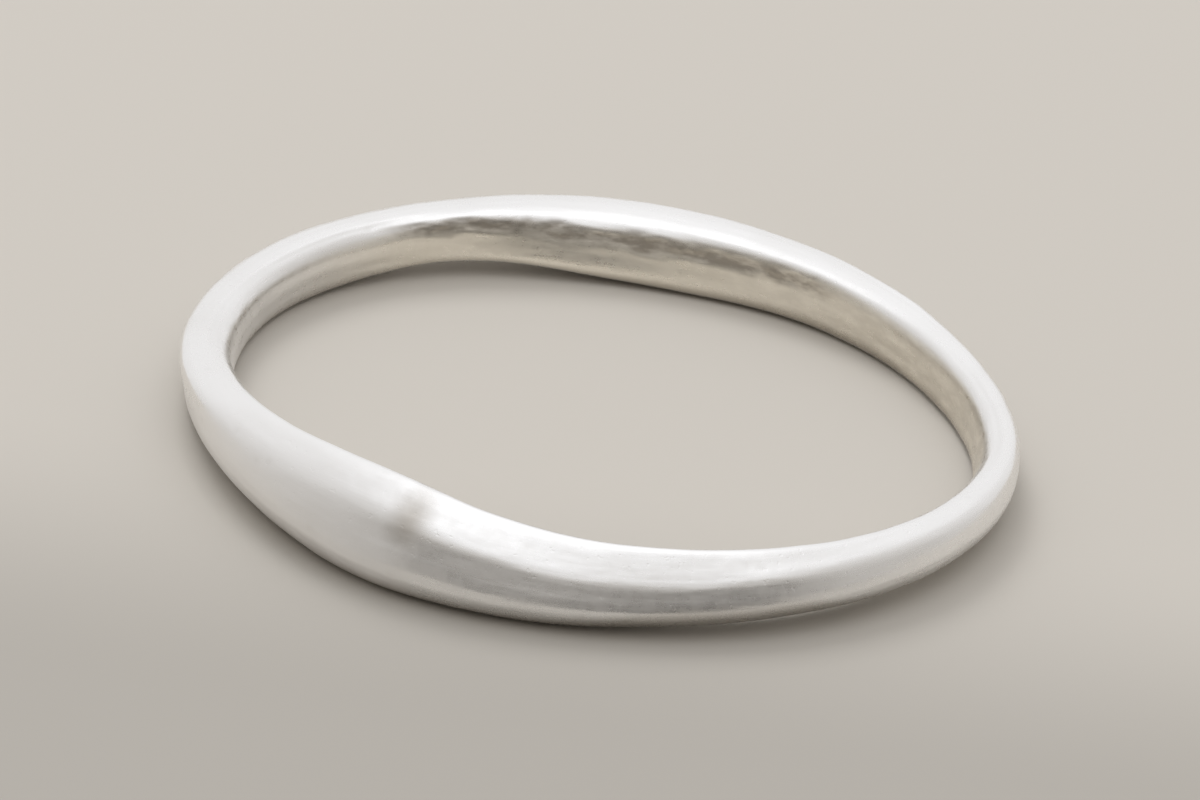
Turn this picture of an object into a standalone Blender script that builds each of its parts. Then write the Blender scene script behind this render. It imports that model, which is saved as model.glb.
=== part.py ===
"""Stackable ring: one solid silver band, forged by hand, lying on its side.

The finger's axis is +Z. The band rests on z = 0, and its outline seen from above is
centred on the origin. Angles run from +X, the band's slimmest side, towards +Y.
"""
import math

import bmesh
import bpy
from mathutils import Vector

# Driving sizes, in metres
BORE_DIAMETER = 0.01735
BAND_WALL = 0.0022
BAND_HEIGHT = 0.0025
BORE_WANDER = 0.0004
SOLE_LIFT = 0.0003

# Roundness of the corners that keep it all the way round: the share of each side that it takes
BORE_FOOT_SHARE = 0.22
SOLE_SHARE = 0.34
BELLY_SHARE = 0.42

# Fineness of the skin
STATIONS = 120
CORNER_POINTS = 4
SHARP_ANGLE = math.radians(40)

# Finish
SILVER_COLOR = (0.93, 0.92, 0.90, 1.0)
SILVER_ROUGHNESS = 0.30

# The band's sections, evenly spaced round the ring, each a closed run of five corners.
# bore: how far the inner wall's foot stands out from the bore circle, in BORE_WANDER
# lift: how far the sole stands off the surface, in SOLE_LIFT
# sole, belly, shoulder, crest: distance out from the bore circle, in BAND_WALL
# belly_up, shoulder_up, crest_up: height above the surface, in BAND_HEIGHT
# shoulder_ease, crest_ease: roundness of those corners, as a share of each side
SECTION_COLUMNS = (
    "bore", "lift", "sole", "belly", "belly_up",
    "shoulder", "shoulder_up", "shoulder_ease", "crest", "crest_up", "crest_ease",
)
SECTION_SHARES = (
    # the slim side
    (0.27, 0.40, 0.45, 0.59, 0.32, 0.54, 0.61, 0.42, 0.16, 0.62, 0.40),
    (0.18, 0.00, 0.43, 0.56, 0.30, 0.47, 0.60, 0.42, 0.13, 0.60, 0.34),
    (0.23, 0.00, 0.43, 0.58, 0.30, 0.46, 0.61, 0.42, 0.09, 0.58, 0.28),
    (0.38, 0.00, 0.52, 0.71, 0.30, 0.53, 0.66, 0.42, 0.07, 0.59, 0.30),
    (0.17, 0.00, 0.61, 0.82, 0.32, 0.59, 0.70, 0.42, 0.06, 0.62, 0.30),
    (-0.61, 0.00, 0.66, 0.89, 0.34, 0.62, 0.72, 0.42, 0.05, 0.64, 0.30),
    # the back, with its worn inner edge
    (-0.98, 0.00, 0.68, 0.93, 0.36, 0.66, 0.72, 0.42, 0.04, 0.63, 0.32),
    (-0.68, 1.00, 0.70, 0.92, 0.38, 0.65, 0.67, 0.42, 0.08, 0.65, 0.32),
    (0.44, 1.00, 0.68, 0.87, 0.38, 0.61, 0.63, 0.42, 0.10, 0.63, 0.32),
    (0.70, 0.00, 0.64, 0.79, 0.36, 0.59, 0.62, 0.42, 0.09, 0.62, 0.34),
    (0.58, 0.00, 0.59, 0.72, 0.34, 0.58, 0.60, 0.42, 0.07, 0.60, 0.34),
    (0.02, 0.00, 0.52, 0.57, 0.34, 0.60, 0.56, 0.42, 0.02, 0.62, 0.40),
    # the full, rounded side
    (-0.50, 0.00, 0.46, 0.50, 0.36, 0.62, 0.62, 0.42, -0.02, 0.71, 0.42),
    (-0.64, 0.80, 0.43, 0.52, 0.38, 0.62, 0.68, 0.42, -0.05, 0.77, 0.40),
    (-0.37, 0.30, 0.36, 0.60, 0.38, 0.52, 0.71, 0.42, 0.00, 0.93, 0.36),
    (0.00, 0.00, 0.43, 0.73, 0.34, 0.55, 0.76, 0.40, 0.04, 1.06, 0.30),
    (0.00, 0.00, 0.66, 0.83, 0.28, 0.61, 0.82, 0.26, 0.05, 1.15, 0.26),
    (0.00, 0.00, 0.61, 0.78, 0.24, 0.57, 0.65, 0.14, 0.05, 0.97, 0.26),
    # the front, with its sloping flat top and crisp shoulder
    (0.00, 0.00, 0.50, 0.70, 0.22, 0.52, 0.53, 0.10, 0.05, 0.88, 0.28),
    (0.00, 0.50, 0.43, 0.62, 0.24, 0.48, 0.50, 0.12, 0.06, 0.85, 0.30),
    (0.00, 0.70, 0.41, 0.62, 0.28, 0.48, 0.57, 0.18, 0.07, 0.79, 0.32),
    (0.00, 0.75, 0.41, 0.62, 0.30, 0.50, 0.60, 0.28, 0.09, 0.74, 0.34),
    (0.05, 0.75, 0.43, 0.62, 0.32, 0.52, 0.62, 0.36, 0.11, 0.69, 0.36),
    (0.12, 0.70, 0.45, 0.61, 0.32, 0.53, 0.62, 0.40, 0.15, 0.66, 0.40),
)


def blended_section(turn):
    """The section at a share of the full turn, blended smoothly from the four rows about it."""
    place = turn * len(SECTION_SHARES)
    row = math.floor(place)
    t = place - row
    weights = (
        (1 - t) ** 3 / 6,
        (3 * t ** 3 - 6 * t ** 2 + 4) / 6,
        (-3 * t ** 3 + 3 * t ** 2 + 3 * t + 1) / 6,
        t ** 3 / 6,
    )
    rows = [SECTION_SHARES[(row + step) % len(SECTION_SHARES)] for step in (-1, 0, 1, 2)]
    values = [sum(w * v for w, v in zip(weights, column)) for column in zip(*rows)]
    return dict(zip(SECTION_COLUMNS, values))


def section_corners(section):
    """The section's five corners, each as its place (out, up) and its roundness."""
    inner = section["bore"] * BORE_WANDER
    sole = section["lift"] * SOLE_LIFT
    return [
        (Vector((inner, sole)), BORE_FOOT_SHARE),
        (Vector((section["sole"] * BAND_WALL, sole)), SOLE_SHARE),
        (Vector((section["belly"] * BAND_WALL, section["belly_up"] * BAND_HEIGHT)), BELLY_SHARE),
        (
            Vector((section["shoulder"] * BAND_WALL, section["shoulder_up"] * BAND_HEIGHT)),
            section["shoulder_ease"],
        ),
        (
            Vector((section["crest"] * BAND_WALL, section["crest_up"] * BAND_HEIGHT)),
            section["crest_ease"],
        ),
    ]


def eased_outline(corners):
    """The closed outline through the corners, each rounded by a short parabola."""
    outline = []
    for index, (corner, ease) in enumerate(corners):
        before = corners[index - 1][0]
        after = corners[(index + 1) % len(corners)][0]
        start = corner.lerp(before, ease)
        end = corner.lerp(after, ease)
        for point in range(CORNER_POINTS):
            t = point / (CORNER_POINTS - 1)
            outline.append(start.lerp(corner, t).lerp(corner.lerp(end, t), t))
    return outline


def station_ring(turn):
    """The section's outline set up at its station round the finger's axis."""
    angle = math.tau * turn
    outline = eased_outline(section_corners(blended_section(turn)))
    radius = BORE_DIAMETER / 2
    return [
        Vector(((radius + out) * math.cos(angle), (radius + out) * math.sin(angle), up))
        for out, up in outline
    ]


def centred(rings):
    """The same rings of points, moved so that the band's outline from above is centred."""
    points = [point for ring in rings for point in ring]
    middle = Vector((
        (min(p.x for p in points) + max(p.x for p in points)) / 2,
        (min(p.y for p in points) + max(p.y for p in points)) / 2,
        0.0,
    ))
    return [[point - middle for point in ring] for ring in rings]


def lofted_mesh(name, rings):
    """A closed skin over rings of points that follow each other round a full turn."""
    skin = bmesh.new()
    rows = [[skin.verts.new(point) for point in ring] for ring in rings]
    for here, row in enumerate(rows):
        next_row = rows[(here + 1) % len(rows)]
        for corner in range(len(row)):
            following = (corner + 1) % len(row)
            skin.faces.new((row[corner], row[following], next_row[following], next_row[corner]))
    bmesh.ops.recalc_face_normals(skin, faces=skin.faces)
    mesh = bpy.data.meshes.new(name)
    skin.to_mesh(mesh)
    skin.free()
    mesh.shade_smooth()
    mesh.set_sharp_from_angle(angle=SHARP_ANGLE)
    return mesh


def satin_silver():
    """Silver with a soft, satin polish."""
    material = bpy.data.materials.new("satin_silver")
    material.use_nodes = True
    shader = material.node_tree.nodes["Principled BSDF"]
    shader.inputs["Base Color"].default_value = SILVER_COLOR
    shader.inputs["Metallic"].default_value = 1.0
    shader.inputs["Roughness"].default_value = SILVER_ROUGHNESS
    return material


def clear_scene():
    """Start from an empty scene."""
    for thing in list(bpy.data.objects):
        bpy.data.objects.remove(thing, do_unlink=True)


def make_band():
    """The whole ring: one closed band, thicker and thinner round the bore as it was forged."""
    rings = centred([station_ring(station / STATIONS) for station in range(STATIONS)])
    band = bpy.data.objects.new("band", lofted_mesh("band", rings))
    band.data.materials.append(satin_silver())
    bpy.context.scene.collection.objects.link(band)


def main():
    clear_scene()
    make_band()


main()
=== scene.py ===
"""Dresses the stackable ring: a satin silver band, forged by hand, on a pale floor.

Laid out as an add-on and run as a script. The band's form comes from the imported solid, a
tree of Geometry Nodes gives it a fine skin with its forging marks, and the stage holds the
floor, the soft lights and the camera. +X is the ring's right, +Y its back, and the finger's
axis is +Z.
"""
import math

import bmesh
import bpy
from mathutils import Matrix, Vector


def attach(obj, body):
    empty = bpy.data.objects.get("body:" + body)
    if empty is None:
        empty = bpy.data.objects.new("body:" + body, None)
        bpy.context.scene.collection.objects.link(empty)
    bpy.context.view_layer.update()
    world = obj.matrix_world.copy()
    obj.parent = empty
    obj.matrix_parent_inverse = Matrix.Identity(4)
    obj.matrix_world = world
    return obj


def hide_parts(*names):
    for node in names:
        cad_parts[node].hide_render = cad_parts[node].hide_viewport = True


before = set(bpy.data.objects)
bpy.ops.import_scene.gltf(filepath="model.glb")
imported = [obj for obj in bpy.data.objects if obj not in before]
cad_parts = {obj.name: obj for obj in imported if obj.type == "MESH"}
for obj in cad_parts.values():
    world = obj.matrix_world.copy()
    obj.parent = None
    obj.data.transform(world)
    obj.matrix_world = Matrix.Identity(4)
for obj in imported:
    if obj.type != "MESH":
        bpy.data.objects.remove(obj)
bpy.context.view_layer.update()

bl_info = {
    "name": "Stackable Ring",
    "version": (1, 0, 0),
    "blender": (4, 5, 0),
    "location": "3D View > Sidebar > Ring",
    "description": "Makes a hand-forged satin silver ring and a stage to look at it on",
    "category": "Object",
}

BAND_NODE = "band"
BAND_BODY = "root"

MM = 0.001
MERGE_REACH = 0.0005 * MM

# Names of the marks that the skin carries for its finish
EDGE_MARK = "burnished_edge"
HOLLOW_MARK = "hollow"
WORN_MARK = "worn_back"
BORE_MARK = "bore"
FACET_MARK = "matte_facet"
DENT_MARK = "dent"
MARKS = (EDGE_MARK, HOLLOW_MARK, WORN_MARK, BORE_MARK, FACET_MARK, DENT_MARK)

# How nearly the skin faces the finger's axis where a field starts, and where it is full
RIM_FACING = (-0.2, 0.2)
WORN_FACING = (0.45, 0.75)
BORE_FACING = (0.75, 0.97)

# A noise's middle, and the levels of a noise between which a mark grows
NOISE_MIDDLE = 0.5
SCUFF_LEVELS = (0.30, 0.65)
WORN_LEVELS = (0.35, 0.62)
BORE_STREAK_LEVELS = (0.30, 0.65)
CLOUD_LEVELS = (0.45, 0.75)
PIT_LEVELS = (0.66, 0.76)
SATIN_LEVELS = (0.30, 0.70)

# What is left of the worn streak's darkening and of the bore's darker streaks between their own
# streaks
WORN_FAINT = 0.25
BORE_STREAK_FAINT = 0.2

# The bore's darker streaks from left to right: where they grow, and what the left has of them
BORE_STREAK_SPAN = (0.0, 8.0 * MM)
BORE_STREAK_LEFT = 0.15

# The painted shade along the foot: its height, and how much higher and where in front it climbs
FOOT_SHADE_HEIGHT = (0.1 * MM, 0.5 * MM)
FOOT_SHADE_CLIMB = 0.5 * MM
FOOT_SHADE_FROM_LEFT = (-1.0 * MM, 3.0 * MM)
FOOT_SHADE_TO_RIGHT = (5.0 * MM, 7.5 * MM)
FOOT_SHADE_IN_FRONT = (-6.0 * MM, -2.0 * MM)

# How far the satin's mottling and its polishing lines change the roughness
MOTTLE_ROUGHNESS = (-0.04, 0.05)
LINE_ROUGHNESS = (-0.03, 0.04)

# The surround's glows round the horizon: the setting, the direction, and how nearly a ray must
# face it to meet the glow's edge and its full strength
GLOWS = (
    ("side_glow", (0.0, 1.0, 0.0), -0.75, -0.30),
    ("back_glow", (0.0, 1.0, 0.0), 0.00, 1.10),
    ("left_glow", (-1.0, 0.0, 0.0), 0.30, 1.00),
    ("corner_shade", (0.6, -0.8, 0.0), 0.70, 1.00),
)

# How far towards the right the sky starts to dim, and where it is dimmest
SKY_LEAN_SPAN = (0.25, 0.60)

FLOOR_SIDES = 128
SENSOR_WIDTH = 36.0

# The nearest and the furthest thing that the camera sees, as shares of its distance
CLIP_SHARES = (0.05, 50.0)


class Wiring:
    """Adds nodes to a tree, and joins a socket or sets a plain value wherever one is given."""

    def __init__(self, tree):
        self.tree = tree

    def node(self, kind, inputs=None, **settings):
        made = self.tree.nodes.new(kind)
        for name, value in settings.items():
            setattr(made, name, value)
        for name, value in (inputs or {}).items():
            self.feed(value, self.socket(made.inputs, name))
        return made

    def socket(self, sockets, name):
        if isinstance(name, int):
            return sockets[name]
        return next(s for s in sockets if s.name == name and s.enabled)

    def feed(self, value, socket):
        if isinstance(value, bpy.types.NodeSocket):
            self.tree.links.new(value, socket)
        else:
            socket.default_value = value

    def out(self, node, name):
        return self.socket(node.outputs, name)

    def math(self, operation, *values, clamp=False):
        made = self.node("ShaderNodeMath", operation=operation, use_clamp=clamp)
        for index, value in enumerate(values):
            self.feed(value, made.inputs[index])
        return made.outputs[0]

    def total(self, first, *others, clamp=False):
        """The sum of all values, kept from 0 to 1 where clamp is asked for."""
        for value in others:
            first = self.math("ADD", first, value, clamp=clamp)
        return first

    def product(self, first, *others):
        for value in others:
            first = self.math("MULTIPLY", first, value)
        return first

    def inverse(self, size):
        """How many of a size go into a metre: a socket for a socket, else a plain number."""
        if isinstance(size, bpy.types.NodeSocket):
            return self.math("DIVIDE", 1.0, size)
        return 1.0 / size

    def vector(self, operation, *values):
        made = self.node("ShaderNodeVectorMath", operation=operation)
        for index, value in enumerate(values):
            self.feed(value, made.inputs[index])
        single = operation in ("LENGTH", "DOT_PRODUCT")
        return made.outputs["Value" if single else "Vector"]

    def scaled(self, vector, factor):
        made = self.node("ShaderNodeVectorMath", {"Scale": factor}, operation="SCALE")
        self.feed(vector, made.inputs[0])
        return made.outputs["Vector"]

    def combine(self, x=0.0, y=0.0, z=0.0):
        return self.node("ShaderNodeCombineXYZ", {"X": x, "Y": y, "Z": z}).outputs[0]

    def separate(self, vector):
        return self.node("ShaderNodeSeparateXYZ", {"Vector": vector}).outputs

    def eased(self, value, low, high, first=0.0, last=1.0):
        """A smooth step from first to last as the value goes from low to high."""
        return self.node(
            "ShaderNodeMapRange",
            {"Value": value, "From Min": low, "From Max": high, "To Min": first, "To Max": last},
            interpolation_type="SMOOTHSTEP",
        ).outputs[0]

    def fading(self, value, low, high):
        """A smooth step from 1 down to 0 as the value goes from low to high."""
        return self.eased(value, low, high, 1.0, 0.0)

    def between(self, share, first, last):
        """A number between two others."""
        return self.node("ShaderNodeMix", {"Factor": share, "A": first, "B": last}).outputs[0]

    def blend(self, share, first, last):
        """A colour between two others, each a socket or a plain tint."""
        made = self.node("ShaderNodeMix", {"Factor": share}, data_type="RGBA")
        for name, color in (("A", first), ("B", last)):
            plain = not isinstance(color, bpy.types.NodeSocket)
            self.feed(tuple(color) + (1.0,) if plain else color, self.socket(made.inputs, name))
        return self.out(made, "Result")

    def noise(self, vector, size, detail=2.0, roughness=0.5, w=None):
        """Noise with patches of about the given size."""
        inputs = {
            "Vector": vector,
            "Scale": self.inverse(size),
            "Detail": detail,
            "Roughness": roughness,
        }
        if w is not None:
            inputs["W"] = w
        dimensions = "3D" if w is None else "4D"
        return self.node("ShaderNodeTexNoise", inputs, noise_dimensions=dimensions).outputs[0]

    def noise_round_ring(self, place, turns, width, detail=3.0, roughness=0.6):
        """Noise drawn out along the band, as filing leaves its marks, with no seam."""
        x, y, z = self.separate(place)[:3]
        across = self.inverse(width)
        radius = self.math("SQRT", self.total(self.product(x, x), self.product(y, y)))
        vector = self.combine(
            self.product(self.math("DIVIDE", x, radius), turns),
            self.product(self.math("DIVIDE", y, radius), turns),
            self.product(radius, across),
        )
        return self.noise(vector, 1.0, detail, roughness, w=self.product(z, across))


# The band's skin


class SkinTree(Wiring):
    """The tree that gives the band its fine skin and its forging marks."""

    def __init__(self, name):
        super().__init__(bpy.data.node_groups.new(name, "GeometryNodeTree"))
        for way in ("INPUT", "OUTPUT"):
            self.tree.interface.new_socket("Geometry", in_out=way, socket_type="NodeSocketGeometry")
        self.given = self.tree.nodes.new("NodeGroupInput")
        self.values = {}

    def named_inputs(self, settings):
        """An input of the tree for each of the settings, its value kept for the modifier."""
        sockets = {}
        for key in settings.__annotations__:
            setting = settings.bl_rna.properties[key]
            value = getattr(settings, key)
            kind = "NodeSocketInt" if setting.type == "INT" else "NodeSocketFloat"
            if setting.is_array:
                kind, value = "NodeSocketVector", tuple(value)
            made = self.tree.interface.new_socket(setting.name, in_out="INPUT", socket_type=kind)
            self.values[made.identifier] = value
            sockets[key] = self.given.outputs[setting.name]
        return sockets

    def position(self):
        return self.node("GeometryNodeInputPosition").outputs[0]

    def normal(self):
        return self.out(self.node("GeometryNodeInputNormal"), "Normal")

    def facing_in(self):
        """How nearly the skin faces the finger's axis, as the bore's wall does."""
        inward = self.vector("MULTIPLY", self.position(), (-1.0, -1.0, 0.0))
        return self.vector("DOT_PRODUCT", self.normal(), self.vector("NORMALIZE", inward))

    def blurred(self, value, iterations):
        inputs = {"Value": value, "Iterations": iterations}
        made = self.node("GeometryNodeBlurAttribute", inputs, data_type="FLOAT_VECTOR")
        return self.out(made, "Value")

    def circle(self, points, radius):
        inputs = {"Resolution": points, "Radius": radius}
        return self.node("GeometryNodeCurvePrimitiveCircle", inputs).outputs[0]

    def moved(self, geometry, **fields):
        inputs = {"Geometry": geometry}
        inputs.update({name.capitalize(): value for name, value in fields.items()})
        return self.node("GeometryNodeSetPosition", inputs).outputs[0]

    def stored(self, geometry, name, value):
        made = self.node(
            "GeometryNodeStoreNamedAttribute",
            {"Geometry": geometry, "Name": name, "Value": value},
            data_type="FLOAT",
            domain="POINT",
        )
        return made.outputs[0]

    def hit(self, target, source, direction, length):
        return self.node(
            "GeometryNodeRaycast",
            {
                "Target Geometry": target,
                "Source Position": source,
                "Ray Direction": direction,
                "Ray Length": length,
            },
        )

    def finish(self, geometry, material):
        realized = self.node("GeometryNodeRealizeInstances", {"Geometry": geometry}).outputs[0]
        smooth = self.node("GeometryNodeSetShadeSmooth", {"Geometry": realized}).outputs[0]
        inputs = {"Geometry": smooth, "Material": material}
        painted = self.node("GeometryNodeSetMaterial", inputs).outputs[0]
        self.node("NodeGroupOutput", {"Geometry": painted})


def core_line(tree, solid, sizes):
    """A closed line inside the band, halfway between its inner and outer walls."""
    reach = sizes["reach"]
    outward = tree.vector("NORMALIZE", tree.position())
    level = tree.combine(z=sizes["core_height"])
    far = tree.vector("ADD", tree.scaled(outward, reach), level)
    inner = tree.hit(solid, level, outward, reach)
    outer = tree.hit(solid, far, tree.scaled(outward, -1.0), reach)
    walls = [tree.out(wall, "Hit Position") for wall in (inner, outer)]
    middle = tree.scaled(tree.vector("ADD", *walls), 0.5)
    return tree.moved(tree.circle(sizes["stations"], reach), position=middle)


def fine_skin(tree, solid, line, sizes):
    """A fine tube along the core line, spread out onto the solid's walls and eased."""
    thread = tree.circle(sizes["section_points"], sizes["thread_radius"])
    inputs = {"Curve": line, "Profile Curve": thread}
    tube = tree.node("GeometryNodeCurveToMesh", inputs).outputs[0]
    wall = tree.hit(solid, tree.position(), tree.normal(), sizes["reach"])
    spread = tree.moved(
        tube, selection=tree.out(wall, "Is Hit"), position=tree.out(wall, "Hit Position")
    )
    return tree.moved(spread, position=tree.blurred(tree.position(), sizes["softening"]))


def rounded_rim(tree, skin, sizes):
    """Rounds the bore's upper rim on the right and the left, where it was rubbed down most."""
    place = tree.position()
    x, y, z = tree.separate(place)[:3]
    right = tree.eased(x, sizes["rim_right_start"], sizes["rim_right_full"])
    left = tree.fading(x, sizes["rim_left_full"], sizes["rim_left_start"])
    amount = tree.product(
        tree.eased(tree.facing_in(), *RIM_FACING),
        tree.eased(z, sizes["rim_foot"], sizes["rim_top"]),
        tree.total(right, left),
        tree.eased(y, sizes["rim_front"], 0.0),
    )
    change = tree.vector("SUBTRACT", tree.blurred(place, sizes["rim_softening"]), place)
    return tree.moved(skin, offset=tree.scaled(change, amount))


def with_edge_mark(tree, skin, sizes):
    """Marks the ridges, which wear bright, by how far they stand proud of a blurred skin."""
    place = tree.position()
    rise = tree.vector("SUBTRACT", place, tree.blurred(place, sizes["edge_breadth"]))
    proud = tree.vector("DOT_PRODUCT", rise, tree.normal())
    return tree.stored(skin, EDGE_MARK, tree.eased(proud, 0.0, sizes["edge_sharpness"]))


def soft_dent(tree, sizes):
    """The front's soft oval dent: 1 at its middle, easing to 0 all round."""
    length, height = sizes["dent_length"], sizes["dent_height"]
    offset = tree.vector("SUBTRACT", tree.position(), sizes["dent_middle"])
    along = tree.math("DIVIDE", tree.vector("DOT_PRODUCT", offset, sizes["dent_heading"]), length)
    up = tree.math("DIVIDE", tree.separate(offset)[2], height)
    out = tree.math("DIVIDE", tree.vector("LENGTH", offset), tree.total(length, height))
    return tree.fading(tree.vector("LENGTH", tree.combine(along, up, out)), 0.0, 1.0)


def scattered_nicks(tree, skin, sizes):
    """Small round nicks scattered over the skin, as a field that is 1 at each nick's centre."""
    points = tree.node(
        "GeometryNodeDistributePointsOnFaces",
        {"Mesh": skin, "Density": sizes["nick_density"], "Seed": sizes["seed"]},
        distribute_method="RANDOM",
    ).outputs["Points"]
    nearest = tree.node("GeometryNodeProximity", {0: points}, target_element="POINTS")
    return tree.fading(tree.out(nearest, "Distance"), 0.0, sizes["nick_radius"])


def worn_back(tree, sizes):
    """The worn streak in the back's inner wall, as a field from 0 to 1 with a ragged border."""
    place = tree.position()
    x, y, z = tree.separate(place)[:3]
    ragged = tree.noise_round_ring(place, sizes["worn_turns"], sizes["worn_grain"])
    stray = tree.product(tree.math("SUBTRACT", ragged, NOISE_MIDDLE), sizes["worn_raggedness"])
    middle = tree.eased(x, sizes["worn_high_end"], 0.0, sizes["worn_high"], sizes["worn_low"])
    away = tree.math("ABSOLUTE", tree.math("SUBTRACT", tree.total(z, stray), middle))
    return tree.product(
        tree.eased(tree.facing_in(), *WORN_FACING),
        tree.eased(tree.total(y, stray), sizes["worn_start"], sizes["worn_full"]),
        tree.fading(away, sizes["worn_core"], sizes["worn_reach"]),
    )


def matte_facet(tree, sizes):
    """The front's filed facet, which ends at the dent, as a field from 0 to 1."""
    x, y = tree.separate(tree.position())[:2]
    past = tree.math("SUBTRACT", x, tree.separate(sizes["dent_middle"])[0])
    half = tree.product(sizes["facet_border"], 0.5)
    border = tree.fading(past, tree.product(half, -1.0), half)
    return tree.product(border, tree.fading(y, sizes["facet_full"], sizes["facet_start"]))


def bore_wall(tree, sizes):
    """The bore's wall, which fades away on the left, as a field from 0 to 1."""
    x = tree.separate(tree.position())[0]
    return tree.product(
        tree.eased(tree.facing_in(), *BORE_FACING),
        tree.eased(x, sizes["bore_start"], sizes["bore_full"]),
    )


def forging_marks(tree, skin, sizes):
    """Carves the waver, planishing, file marks, nicks, scuffs and dent, all of them inwards."""
    place = tree.position()
    worn = worn_back(tree, sizes)
    dent = soft_dent(tree, sizes)
    nicks = tree.product(scattered_nicks(tree, skin, sizes), sizes["nick_depth"])
    rough = tree.noise(place, sizes["scuff_size"], detail=3.0, roughness=0.65)
    scuffs = tree.product(worn, tree.eased(rough, *SCUFF_LEVELS, last=sizes["scuff_depth"]))
    planish = tree.node(
        "ShaderNodeTexVoronoi",
        {"Vector": place, "Scale": tree.inverse(sizes["planish_size"]), "Smoothness": 1.0},
        feature="SMOOTH_F1",
    )
    filed = tree.noise_round_ring(
        place, sizes["file_turns"], sizes["file_width"], detail=2.0, roughness=0.5
    )
    depth = tree.total(
        tree.product(tree.noise(place, sizes["waver_size"], detail=1.0), sizes["waver_depth"]),
        tree.product(tree.out(planish, "Distance"), sizes["planish_depth"]),
        tree.product(filed, sizes["file_depth"]),
        nicks,
        scuffs,
        tree.product(dent, sizes["dent_depth"]),
    )
    hollow = tree.math("DIVIDE", tree.total(nicks, scuffs), sizes["dull_depth"], clamp=True)
    for name, field in (
        (HOLLOW_MARK, hollow),
        (WORN_MARK, worn),
        (DENT_MARK, dent),
        (FACET_MARK, matte_facet(tree, sizes)),
        (BORE_MARK, bore_wall(tree, sizes)),
    ):
        skin = tree.stored(skin, name, field)
    return tree.moved(skin, offset=tree.scaled(tree.normal(), tree.product(depth, -1.0)))


def skin_tree(settings, material):
    """The whole tree, with the band's settings as its named inputs."""
    tree = SkinTree("Forged Band Skin")
    sizes = tree.named_inputs(settings)
    solid = tree.given.outputs["Geometry"]
    skin = fine_skin(tree, solid, core_line(tree, solid, sizes), sizes)
    skin = rounded_rim(tree, skin, sizes)
    skin = with_edge_mark(tree, skin, sizes)
    skin = forging_marks(tree, skin, sizes)
    tree.finish(skin, material)
    return tree


def merged_solid(node):
    """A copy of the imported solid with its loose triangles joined, as the tree's target."""
    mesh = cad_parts[node].data.copy()
    shape = bmesh.new()
    shape.from_mesh(mesh)
    bmesh.ops.remove_doubles(shape, verts=shape.verts, dist=MERGE_REACH)
    shape.to_mesh(mesh)
    shape.free()
    mesh.materials.clear()
    return bpy.data.objects.new("merged_solid", mesh)


def grown_mesh(source, tree, name):
    """The tree's result over a source object, as a plain mesh with no modifier."""
    bpy.context.scene.collection.objects.link(source)
    modifier = source.modifiers.new("Skin", "NODES")
    modifier.node_group = tree.tree
    for identifier, value in tree.values.items():
        modifier[identifier] = value
    graph = bpy.context.evaluated_depsgraph_get()
    mesh = bpy.data.meshes.new_from_object(
        source.evaluated_get(graph), preserve_all_data_layers=True, depsgraph=graph
    )
    mesh.name = name
    source.modifiers.clear()
    bpy.data.objects.remove(source, do_unlink=True)
    return mesh


def facing_out(mesh):
    """The same mesh, turned so that its faces point outwards."""
    shape = bmesh.new()
    shape.from_mesh(mesh)
    if shape.calc_volume(signed=True) < 0.0:
        bmesh.ops.reverse_faces(shape, faces=shape.faces)
    shape.to_mesh(mesh)
    shape.free()
    return mesh


# The silver's finish


def foot_painted_shade(wiring, place):
    """Painted shade along the band's foot, which climbs higher in front on the right, from 0 to 1.
    """
    x, y, z = wiring.separate(place)[:3]
    climb = wiring.product(
        wiring.eased(x, *FOOT_SHADE_FROM_LEFT),
        wiring.fading(x, *FOOT_SHADE_TO_RIGHT),
        wiring.fading(y, *FOOT_SHADE_IN_FRONT),
        FOOT_SHADE_CLIMB,
    )
    return wiring.fading(wiring.math("SUBTRACT", z, climb), *FOOT_SHADE_HEIGHT)


def tarnish_and_shade_share(wiring, settings, place, marks):
    """How dark the silver is, from 0 to 1: tarnish in its hollows and clouds, tarnish and painted
    shade in the worn streak, darker streaks in the bore, and painted shade at its foot and in its
    dent.
    """
    clouds = wiring.noise(place, settings.cloud_size)
    streaks = wiring.noise_round_ring(place, settings.streak_turns, settings.streak_width)
    # Darker streaks in the bore, growing towards the right
    bore_streaks = wiring.product(
        marks[BORE_MARK],
        wiring.eased(wiring.separate(place)[0], *BORE_STREAK_SPAN, first=BORE_STREAK_LEFT),
        wiring.eased(streaks, *BORE_STREAK_LEVELS, first=BORE_STREAK_FAINT),
    )
    worn = wiring.product(marks[WORN_MARK], wiring.eased(streaks, *WORN_LEVELS, first=WORN_FAINT))
    return wiring.total(
        wiring.product(marks[HOLLOW_MARK], settings.hollow_tarnish),
        wiring.product(wiring.eased(clouds, *CLOUD_LEVELS), settings.cloud_tarnish),
        # The worn streak's darkening: partly tarnish, partly painted shade
        wiring.product(worn, settings.worn_tarnish_and_shade),
        wiring.product(bore_streaks, settings.bore_streak_darkening),
        # Painted shade along the foot
        wiring.product(foot_painted_shade(wiring, place), settings.foot_shade_strength),
        # Painted shade in the dent
        wiring.product(marks[DENT_MARK], settings.dent_shade_strength),
        clamp=True,
    )


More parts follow.
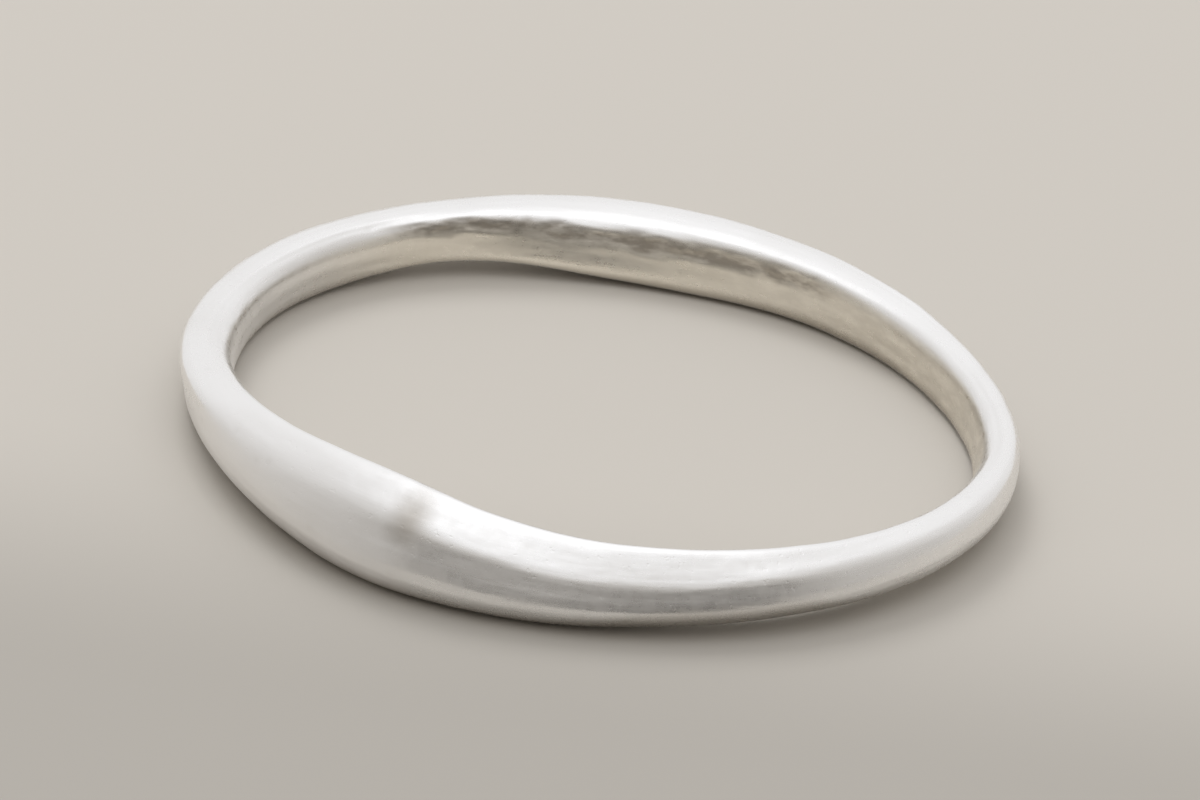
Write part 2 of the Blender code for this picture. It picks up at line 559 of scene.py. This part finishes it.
def satin_silver(settings):
    """White silver: fine polishing lines, a mottled satin, tarnish, bright worn edges, a painted
    reflection in the bore, and painted shade at the foot and in the dent.
    """
    material = bpy.data.materials.new("satin_silver")
    material.use_nodes = True
    wiring = Wiring(material.node_tree)
    shader = material.node_tree.nodes["Principled BSDF"]
    place = wiring.out(wiring.node("ShaderNodeTexCoord"), "Object")
    marks = {
        name: wiring.out(wiring.node("ShaderNodeAttribute", attribute_name=name), "Fac")
        for name in MARKS
    }
    lines = wiring.noise_round_ring(place, settings.line_length, settings.line_width)
    mottle = wiring.noise(place, settings.mottle_size, detail=4.0, roughness=0.6)
    pits = wiring.eased(wiring.noise(place, settings.pit_size, detail=1.0), *PIT_LEVELS)

    # The bore's warm colour is a painted reflection of a warm floor
    warmth = wiring.product(marks[BORE_MARK], settings.bore_reflection_share)
    clean = wiring.blend(warmth, settings.silver_color, settings.bore_reflection_color)
    # The tarnish colour also paints shade at the foot, in the dent and in the worn streak
    tarnish = tarnish_and_shade_share(wiring, settings, place, marks)
    wiring.feed(wiring.blend(tarnish, clean, settings.tarnish_and_shade_color), shader.inputs["Base Color"])
    shader.inputs["Metallic"].default_value = 1.0

    rough = wiring.total(
        settings.roughness,
        wiring.eased(mottle, *SATIN_LEVELS, *MOTTLE_ROUGHNESS),
        wiring.eased(lines, *SATIN_LEVELS, *LINE_ROUGHNESS),
        wiring.product(marks[EDGE_MARK], -settings.edge_polish),
        wiring.product(marks[FACET_MARK], settings.facet_dullness),
        wiring.product(marks[HOLLOW_MARK], settings.hollow_dullness),
        clamp=True,
    )
    wiring.feed(rough, shader.inputs["Roughness"])

    # The reliefs are in metres, so the bump's distance is one
    relief = wiring.total(
        wiring.product(lines, settings.line_relief),
        wiring.product(mottle, settings.mottle_relief),
        wiring.product(pits, -settings.pit_relief),
    )
    bump = wiring.node("ShaderNodeBump", {"Height": relief, "Strength": 1.0, "Distance": 1.0})
    wiring.feed(bump.outputs[0], shader.inputs["Normal"])
    return material


# The stage


def floor_paint(settings):
    """A matte pale floor, with painted shade that makes it a little dimmer in front."""
    material = bpy.data.materials.new("pale_floor")
    material.use_nodes = True
    wiring = Wiring(material.node_tree)
    shader = material.node_tree.nodes["Principled BSDF"]
    y = wiring.separate(wiring.out(wiring.node("ShaderNodeTexCoord"), "Object"))[1]
    front_shade = wiring.fading(y, settings.floor_dim_full, settings.floor_dim_start)
    color = wiring.blend(front_shade, settings.floor_color, settings.floor_dim_color)
    wiring.feed(color, shader.inputs["Base Color"])
    shader.inputs["Roughness"].default_value = settings.floor_roughness
    shader.inputs["Specular IOR Level"].default_value = settings.floor_gloss
    return material


def lay_floor(settings):
    """A flat round floor under the ring."""
    shape = bmesh.new()
    bmesh.ops.create_circle(
        shape, cap_ends=True, segments=FLOOR_SIDES, radius=settings.floor_radius
    )
    mesh = bpy.data.meshes.new("floor")
    shape.to_mesh(mesh)
    shape.free()
    mesh.materials.append(floor_paint(settings))
    floor = bpy.data.objects.new("floor", mesh)
    bpy.context.scene.collection.objects.link(floor)


def hang_soft_light(name, place, size, radiance, color, mirrored):
    """A soft light that looks at the ring, with an even glow of the given radiance."""
    light = bpy.data.lights.new(name, "AREA")
    light.shape = "RECTANGLE"
    light.size, light.size_y = size
    light.energy = radiance * math.pi * size[0] * size[1]
    light.color = color
    lamp = bpy.data.objects.new(name, light)
    lamp.location = place
    lamp.rotation_mode = "QUATERNION"
    lamp.rotation_quaternion = (-Vector(place)).to_track_quat("-Z", "Y")
    lamp.visible_camera = False
    lamp.visible_glossy = mirrored
    bpy.context.scene.collection.objects.link(lamp)


def fill_with_soft_air(settings):
    """A pale surround that glows softly from above and behind, and less from either side."""
    world = bpy.data.worlds.new("studio")
    world.use_nodes = True
    wiring = Wiring(world.node_tree)
    way = wiring.out(wiring.node("ShaderNodeTexCoord"), "Generated")
    x, _, z = wiring.separate(way)[:3]
    level = wiring.vector("NORMALIZE", wiring.vector("MULTIPLY", way, (1.0, 1.0, 0.0)))
    glow = settings.air_glow
    for name, towards, edge, full in GLOWS:
        facing = wiring.vector("DOT_PRODUCT", level, towards)
        glow = wiring.total(glow, wiring.eased(facing, edge, full, last=getattr(settings, name)))
    upward = wiring.math("POWER", wiring.math("MAXIMUM", z, 0.0), settings.sky_narrowness)
    lean = wiring.eased(x, *SKY_LEAN_SPAN, last=settings.sky_lean)
    glow = wiring.between(upward, glow, wiring.math("SUBTRACT", settings.sky_glow, lean))
    brightness = wiring.eased(glow, settings.air_glow, settings.sky_glow)
    color = wiring.blend(brightness, settings.dim_color, settings.air_color)
    seen = wiring.node("ShaderNodeLightPath").outputs["Is Camera Ray"]
    background = world.node_tree.nodes["Background"]
    wiring.feed(color, background.inputs["Color"])
    wiring.feed(wiring.between(seen, glow, settings.backdrop_glow), background.inputs["Strength"])
    bpy.context.scene.world = world


def stand_camera(settings):
    """The camera, at the photograph's angle to the ring and with its tilt."""
    distance = settings.camera_distance
    lens = bpy.data.cameras.new("camera")
    lens.sensor_width = SENSOR_WIDTH
    lens.lens = SENSOR_WIDTH * distance / settings.view_width
    lens.clip_start, lens.clip_end = (distance * clip for clip in CLIP_SHARES)
    lens.dof.use_dof = False
    camera = bpy.data.objects.new("camera", lens)
    elevation = settings.camera_elevation
    back = Vector((0.0, -math.cos(elevation), math.sin(elevation)))
    camera.location = Vector(settings.camera_target) + back * distance
    camera.rotation_mode = "QUATERNION"
    tilt = Matrix.Rotation(settings.camera_tilt, 3, "Z").to_quaternion()
    camera.rotation_quaternion = (-back).to_track_quat("-Z", "Y") @ tilt
    bpy.context.scene.collection.objects.link(camera)
    bpy.context.scene.camera = camera


# Settings, operators and panel


def count(name, description, default):
    return bpy.props.IntProperty(name=name, description=description, default=default)


def number(name, description, default):
    return bpy.props.FloatProperty(name=name, description=description, default=default)


def share(name, description, default):
    return bpy.props.FloatProperty(
        name=name, description=description, default=default, subtype="FACTOR"
    )


def real_length(name, description, default):
    return bpy.props.FloatProperty(
        name=name, description=description, default=default, unit="LENGTH", precision=6
    )


def turn(name, description, degrees):
    return bpy.props.FloatProperty(
        name=name, description=description, default=math.radians(degrees), subtype="ANGLE"
    )


def spot(name, description, place):
    return bpy.props.FloatVectorProperty(
        name=name,
        description=description,
        default=[length * MM for length in place],
        subtype="TRANSLATION",
        unit="LENGTH",
    )


def heading(name, description, default):
    return bpy.props.FloatVectorProperty(
        name=name, description=description, default=default, subtype="DIRECTION"
    )


def plate(name, description, sides):
    return bpy.props.FloatVectorProperty(
        name=name, description=description, default=sides, size=2, unit="LENGTH"
    )


def tint(name, description, default):
    return bpy.props.FloatVectorProperty(
        name=name, description=description, default=default, subtype="COLOR", min=0.0, max=1.0
    )


class RingBandSettings(bpy.types.PropertyGroup):
    """Sizes of the band's skin and of its forging marks."""

    stations: count("Stations", "Sections round the ring", 600)
    section_points: count("Section points", "Points in each section", 128)
    softening: count("Softening", "How often the skin is eased", 6)
    core_height: real_length("Core height", "Height of the line that the skin grows from", 0.8 * MM)
    reach: real_length("Reach", "Length that is past every wall of the band", 16 * MM)
    thread_radius: real_length("Thread radius", "Radius of the thread along that line", 0.15 * MM)
    edge_breadth: count("Edge breadth", "How broad the worn edges are", 14)
    edge_sharpness: real_length("Edge sharpness", "How proud a fully worn edge stands", 0.02 * MM)
    waver_size: real_length("Waver size", "Length of the slow waver left by forging", 2.6 * MM)
    waver_depth: real_length("Waver depth", "Depth of that waver", 0.035 * MM)
    planish_size: real_length("Planishing size", "Breadth of one planishing mark", 1.3 * MM)
    planish_depth: real_length("Planishing depth", "Depth of the planishing marks", 0.02 * MM)
    nick_density: number("Nick density", "Nicks on a square metre", 200000.0)
    nick_radius: real_length("Nick radius", "Radius of one nick", 0.14 * MM)
    nick_depth: real_length("Nick depth", "Depth of one nick", 0.008 * MM)
    file_turns: number("File turns", "File marks round the ring", 5.0)
    file_width: real_length("File width", "Breadth of one file mark", 0.30 * MM)
    file_depth: real_length("File depth", "Depth of the file marks", 0.025 * MM)
    scuff_size: real_length("Scuff size", "Breadth of one scuff", 0.55 * MM)
    scuff_depth: real_length("Scuff depth", "Depth of the scuffs", 0.04 * MM)
    rim_softening: count("Rim softening", "How often the bore's upper rim is eased", 200)
    rim_foot: real_length("Rim foot", "Height where that easing starts", 0.4 * MM)
    rim_top: real_length("Rim top", "Height where it is full", 0.8 * MM)
    rim_front: real_length("Rim front", "How far forward it starts, full halfway back", -2.88 * MM)
    rim_right_start: real_length("Rim right start", "How far right it starts", 4.6 * MM)
    rim_right_full: real_length("Rim right full", "How far right it is full", 7.2 * MM)
    rim_left_start: real_length("Rim left start", "How far left it starts", -3.2 * MM)
    rim_left_full: real_length("Rim left full", "How far left it is full", -6.2 * MM)
    # Where the bore's painted reflection and its darker streaks fade out on the left
    bore_start: real_length("Bore start", "Where on the left the bore's warmth starts", -8.5 * MM)
    bore_full: real_length("Bore full", "Where on the left it is full", -4.5 * MM)
    facet_start: real_length("Facet start", "How far forward the matte facet starts", -2.5 * MM)
    facet_full: real_length("Facet full", "How far forward it is fully matte", -5.5 * MM)
    facet_border: real_length("Facet border", "Breadth of its border at the dent", 1.2 * MM)
    worn_turns: number("Worn turns", "Ragged steps of the worn streak round the ring", 9.0)
    worn_grain: real_length("Worn grain", "Breadth of those steps", 0.5 * MM)
    worn_raggedness: real_length("Worn raggedness", "How far its border strays", 0.45 * MM)
    worn_start: real_length("Worn start", "How far back the worn streak starts", 6.7 * MM)
    worn_full: real_length("Worn full", "How far back it is fully worn", 7.6 * MM)
    worn_high: real_length("Worn high", "Height of its middle on the left", 1.36 * MM)
    worn_low: real_length("Worn low", "Height of its middle on the right", 1.15 * MM)
    worn_high_end: real_length("Worn high end", "Where on the left it is highest", -3.5 * MM)
    worn_core: real_length("Worn core", "Half the breadth that is fully worn", 0.05 * MM)
    worn_reach: real_length("Worn reach", "Half the whole breadth of the streak", 0.28 * MM)
    dull_depth: real_length("Dull depth", "Depth of a mark that is fully dull", 0.03 * MM)
    dent_middle: spot("Dent middle", "Where the front's filing stopped", (-3.98, -9.28, 1.92))
    dent_heading: heading("Dent heading", "The band's direction at the dent", (0.906, -0.423, 0.0))
    dent_length: real_length("Dent length", "Half the dent's length along the band", 0.80 * MM)
    dent_height: real_length("Dent height", "Half its height", 1.05 * MM)
    dent_depth: real_length("Dent depth", "Its depth", 0.03 * MM)
    seed: count("Seed", "Which scatter of nicks", 7)


class RingSilverSettings(bpy.types.PropertyGroup):
    """Colour, gloss and fine relief of the silver."""

    silver_color: tint("Silver", "Colour of the clean metal", (0.955, 0.95, 0.945))
    # Also the colour of the painted shade at the foot, in the dent and in the worn streak
    tarnish_and_shade_color: tint("Tarnish", "Colour of the dull metal in hollows", (0.47, 0.43, 0.375))
    # The bore's warm colour is a painted reflection of a warm floor
    bore_reflection_color: tint("Bore", "Colour of the painted reflection inside the bore", (0.88, 0.81, 0.66))
    bore_reflection_share: share("Bore reflection", "How much of that colour the bore takes", 0.58)
    hollow_tarnish: share("Hollow tarnish", "How much the hollows are tarnished", 0.25)
    cloud_tarnish: share("Clouding", "How much the broad clouds are tarnished", 0.05)
    # The worn streak's darkening: partly tarnish, partly painted shade
    worn_tarnish_and_shade: share("Worn tarnish and shade", "How much tarnish and painted shade darken the worn streak", 0.74)
    # Darker streaks in the bore, more of them towards the right
    bore_streak_darkening: share("Bore streaks", "How much the streaks in the bore are darkened", 0.34)
    # Painted shade along the foot
    foot_shade_strength: share("Foot shade", "How much painted shade darkens the band's foot", 0.50)
    # Painted shade in the dent
    dent_shade_strength: share("Dent shade", "How much painted shade darkens the dent in the front", 0.70)
    roughness: share("Roughness", "Roughness of the satin polish", 0.31)
    edge_polish: share("Edge polish", "How much smoother the worn edges are", 0.10)
    facet_dullness: share("Facet dullness", "How much rougher the filed facet is", 0.20)
    hollow_dullness: share("Hollow dullness", "How much rougher the hollows are", 0.12)
    streak_turns: number("Streak turns", "Tarnish streaks round the ring", 14.0)
    streak_width: real_length("Streak width", "Breadth of one tarnish streak", 0.22 * MM)
    cloud_size: real_length("Cloud size", "Breadth of the tarnish clouds", 2.5 * MM)
    line_length: number("Line length", "Polishing lines round the ring", 9.0)
    line_width: real_length("Line width", "Width of one polishing line", 0.05 * MM)
    line_relief: real_length("Line relief", "Relief of the polishing lines", 0.0012 * MM)
    mottle_size: real_length("Mottle size", "Breadth of the satin's mottling", 0.28 * MM)
    mottle_relief: real_length("Mottle relief", "Relief of the mottling", 0.0022 * MM)
    pit_size: real_length("Pit size", "Breadth of one pit", 0.12 * MM)
    pit_relief: real_length("Pit relief", "Depth of the pits", 0.002 * MM)


class RingStageSettings(bpy.types.PropertyGroup):
    """The floor, the lights and the camera."""

    floor_radius: real_length("Floor radius", "Radius of the floor", 0.9)
    floor_color: tint("Floor", "Colour of the floor", (0.64, 0.607, 0.556))
    # The dim floor colour in front is painted shade
    floor_dim_color: tint("Dim floor", "Colour of the floor in front", (0.485, 0.46, 0.42))
    floor_dim_start: real_length("Dim floor start", "How far forward it starts to dim", -2 * MM)
    floor_dim_full: real_length("Dim floor full", "How far forward it is dimmest", -15 * MM)
    floor_roughness: share("Floor roughness", "Roughness of the floor", 0.85)
    floor_gloss: share("Floor gloss", "Strength of the floor's reflections", 0.2)
    air_color: tint("Air", "Colour of the light from the surround", (0.99, 0.99, 1.0))
    dim_color: tint("Dim air", "Colour of its dimmest light, in front", (1.0, 0.945, 0.875))
    air_glow: share("Air glow", "Glow of the surround in front", 0.25)
    side_glow: share("Side glow", "Added glow everywhere but in front", 0.27)
    back_glow: share("Back glow", "Added glow behind", 0.34)
    left_glow: share("Left glow", "Added glow on the left", 0.03)
    corner_shade: share("Corner shade", "Change of the glow in front on the right", -0.09)
    sky_glow: share("Sky glow", "Glow straight above", 1.06)
    sky_lean: share("Sky lean", "How much dimmer the sky is towards the right", 0.22)
    sky_narrowness: number("Sky narrowness", "How fast the glow fades from above", 2.4)
    backdrop_glow: share("Backdrop glow", "Glow of the surround as the camera sees it", 0.80)
    lamp_glow: share("Lamp glow", "Glow of the soft light overhead", 0.12)
    lamp_place: spot("Lamp place", "Where the soft light overhead hangs", (-30.0, 70.0, 420.0))
    lamp_size: plate("Lamp size", "Length and breadth of that light", (0.40, 0.34))
    window_glow: number("Window glow", "Glow of the light that casts the ring's shadow", 5.4)
    window_place: spot("Window place", "Where that light hangs, behind", (-100.0, 212.0, 260.0))
    window_size: plate("Window size", "Length and breadth of that light", (0.142, 0.142))
    camera_elevation: turn("Elevation", "Camera's height over the horizon", 26.0)
    camera_tilt: turn("Tilt", "Turn of the camera about its own view", 7.24)
    camera_distance: real_length("Distance", "From the camera to the ring", 0.30)
    camera_target: spot("Target", "What the camera looks at", (0.0, 0.0, 1.0))
    view_width: real_length("View width", "Width of the view at the ring", 28 * MM)


class RING_OT_forge_band(bpy.types.Operator):
    """Make the band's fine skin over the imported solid, in satin silver"""

    bl_idname = "ring.forge_band"
    bl_label = "Forge Band"

    def execute(self, context):
        scene = context.scene
        material = satin_silver(scene.ring_silver)
        tree = skin_tree(scene.ring_band, material)
        mesh = facing_out(grown_mesh(merged_solid(BAND_NODE), tree, "forged_band"))
        if not mesh.polygons:
            raise RuntimeError("the band's skin came out empty")
        band = bpy.data.objects.new("forged_band", mesh)
        scene.collection.objects.link(band)
        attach(band, BAND_BODY)
        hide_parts(BAND_NODE)
        return {"FINISHED"}


class RING_OT_set_stage(bpy.types.Operator):
    """Lay the floor, hang the soft lights and stand the camera"""

    bl_idname = "ring.set_stage"
    bl_label = "Set Stage"

    def execute(self, context):
        stage = context.scene.ring_stage
        lay_floor(stage)
        for name, place, size, glow, mirrored in (
            ("overhead", stage.lamp_place, stage.lamp_size, stage.lamp_glow, True),
            ("window", stage.window_place, stage.window_size, stage.window_glow, False),
        ):
            hang_soft_light(name, place, size, glow, stage.air_color, mirrored)
        fill_with_soft_air(stage)
        stand_camera(stage)
        context.scene.view_settings.view_transform = "Standard"
        return {"FINISHED"}


class RING_PT_panel(bpy.types.Panel):
    """Lists the ring's steps and their settings"""

    bl_label = "Stackable Ring"
    bl_idname = "RING_PT_panel"
    bl_space_type = "VIEW_3D"
    bl_region_type = "UI"
    bl_category = "Ring"

    def draw(self, context):
        scene = context.scene
        for settings, step in (
            (scene.ring_stage, RING_OT_set_stage.bl_idname),
            (scene.ring_silver, None),
            (scene.ring_band, RING_OT_forge_band.bl_idname),
        ):
            box = self.layout.box()
            for name in settings.__annotations__:
                box.prop(settings, name)
            if step:
                box.operator(step)


SETTINGS = {
    "ring_band": RingBandSettings,
    "ring_silver": RingSilverSettings,
    "ring_stage": RingStageSettings,
}
CLASSES = (*SETTINGS.values(), RING_OT_forge_band, RING_OT_set_stage, RING_PT_panel)


def register():
    for kind in CLASSES:
        bpy.utils.register_class(kind)
    for name, kind in SETTINGS.items():
        setattr(bpy.types.Scene, name, bpy.props.PointerProperty(type=kind))


def unregister():
    for name in SETTINGS:
        delattr(bpy.types.Scene, name)
    for kind in reversed(CLASSES):
        bpy.utils.unregister_class(kind)


def main():
    register()
    bpy.ops.ring.set_stage()
    bpy.ops.ring.forge_band()


if __name__ == "__main__":
    main()
